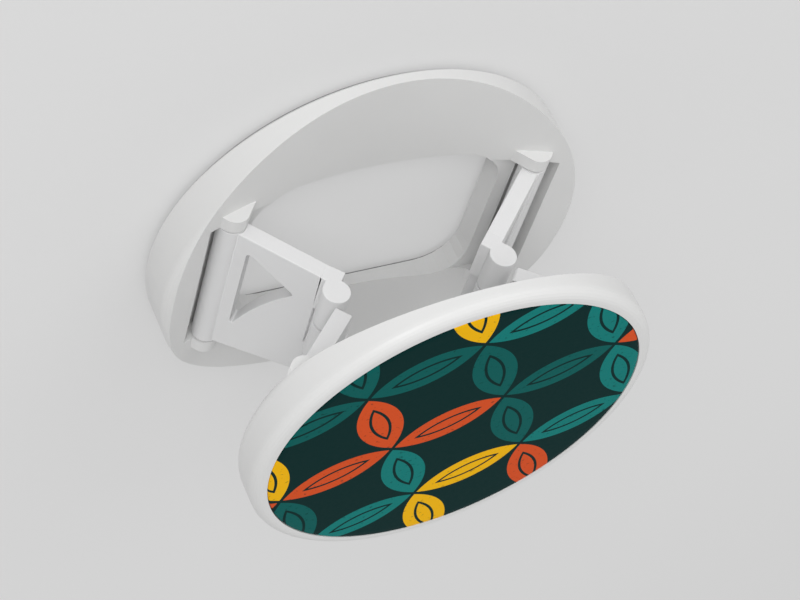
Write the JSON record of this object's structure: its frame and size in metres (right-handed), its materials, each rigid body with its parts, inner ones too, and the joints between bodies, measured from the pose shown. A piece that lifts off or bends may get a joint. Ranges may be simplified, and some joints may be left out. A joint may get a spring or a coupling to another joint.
{
  "type": "folding phone grip",
  "caption": "Folding phone grip: a round stick-on dish and a round top disc joined by hinged legs that fold flat between them.",
  "frame": {"origin": "middle of the sticking face that goes on the phone", "axes": "+Z away from the phone towards the printed face, hinge axes along Y, legs at -X and +X"},
  "size_m": [0.04, 0.04, 0.0236],
  "materials": {
    "white_shell": "satin moulded",
    "white_legs": "satin moulded",
    "steel_pins": "drawn wire",
    "foam_pad": "foam tape",
    "printed_face": "printed, satin"
  },
  "bodies": {
    "base": {"base_dish": "white_shell", "adhesive_pad": "foam_pad", "base_pin_left": "steel_pins", "base_pin_right": "steel_pins"},
    "lower_left": {"lower_leg_left": "white_legs", "knee_pin_left": "steel_pins"},
    "upper_left": {"upper_leg_left": "white_legs"},
    "top": {"top_disc": "white_shell", "face_insert": "printed_face", "top_pin_left": "steel_pins", "top_pin_right": "steel_pins"},
    "lower_right": {"lower_leg_right": "white_legs", "knee_pin_right": "steel_pins"},
    "upper_right": {"upper_leg_right": "white_legs"}
  },
  "joints": [
    {"name": "fold", "type": "hinge", "parent": "base", "child": "lower_left", "pos_m": [-0.01456, 0, 0.0038], "axis": [0, 1, 0], "range_deg": [0, 43.1]},
    {"name": "knee_left", "type": "hinge", "parent": "lower_left", "child": "upper_left", "pos_m": [-0.00798, 0, 0.01193], "axis": [0, -1, 0], "range_deg": [0, 86.3]},
    {"name": "top_hinge_left", "type": "hinge", "parent": "upper_left", "child": "top", "pos_m": [-0.01456, 0, 0.02006], "axis": [0, 1, 0], "range_deg": [0, 43.2]},
    {"name": "base_hinge_right", "type": "hinge", "parent": "base", "child": "lower_right", "pos_m": [0.01456, 0, 0.0038], "axis": [0, -1, 0], "range_deg": [0, 43.2]},
    {"name": "knee_right", "type": "hinge", "parent": "lower_right", "child": "upper_right", "pos_m": [0.00798, 0, 0.01193], "axis": [0, 1, 0], "range_deg": [0, 86.3]}
  ],
  "couplings": [
    {"joint": "knee_left", "follows": "fold", "ratio": 2},
    {"joint": "top_hinge_left", "follows": "fold", "ratio": 1},
    {"joint": "base_hinge_right", "follows": "fold", "ratio": 1},
    {"joint": "knee_right", "follows": "fold", "ratio": 2}
  ]
}
